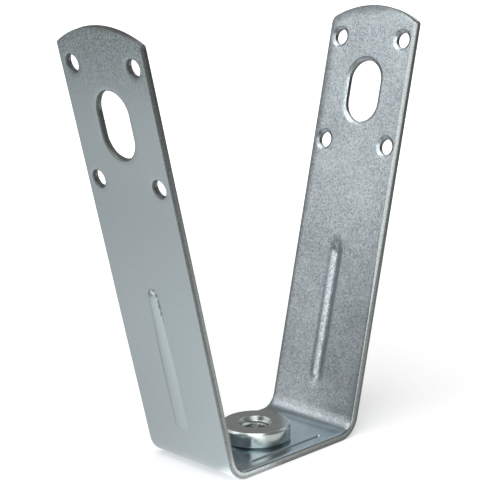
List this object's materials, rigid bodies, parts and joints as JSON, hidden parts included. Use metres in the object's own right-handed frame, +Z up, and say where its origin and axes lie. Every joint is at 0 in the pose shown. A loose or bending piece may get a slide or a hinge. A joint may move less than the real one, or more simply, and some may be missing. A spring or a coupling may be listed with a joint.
{
  "type": "trapezoidal deck hanger",
  "caption": "Folded steel strap hanger for trapezoidal roof deck, with leaning legs, screw holes, rod slots, pressed beads and a round threaded nut in its base.",
  "frame": {"origin": "on the underside of the base, on the axis of the threaded nut", "axes": "+Z up from the base towards the ends of the legs, X from leg to leg, Y across the strap with the front at -Y"},
  "size_m": [0.1006, 0.03, 0.1142],
  "materials": {
    "zinc_strap": "zinc plated sheet, slightly mottled",
    "zinc_nut": "turned steel, zinc plated, bright"
  },
  "bodies": {
    "root": {"folded_strap": "zinc_strap", "press_nut": "zinc_nut"}
  },
  "joints": []
}
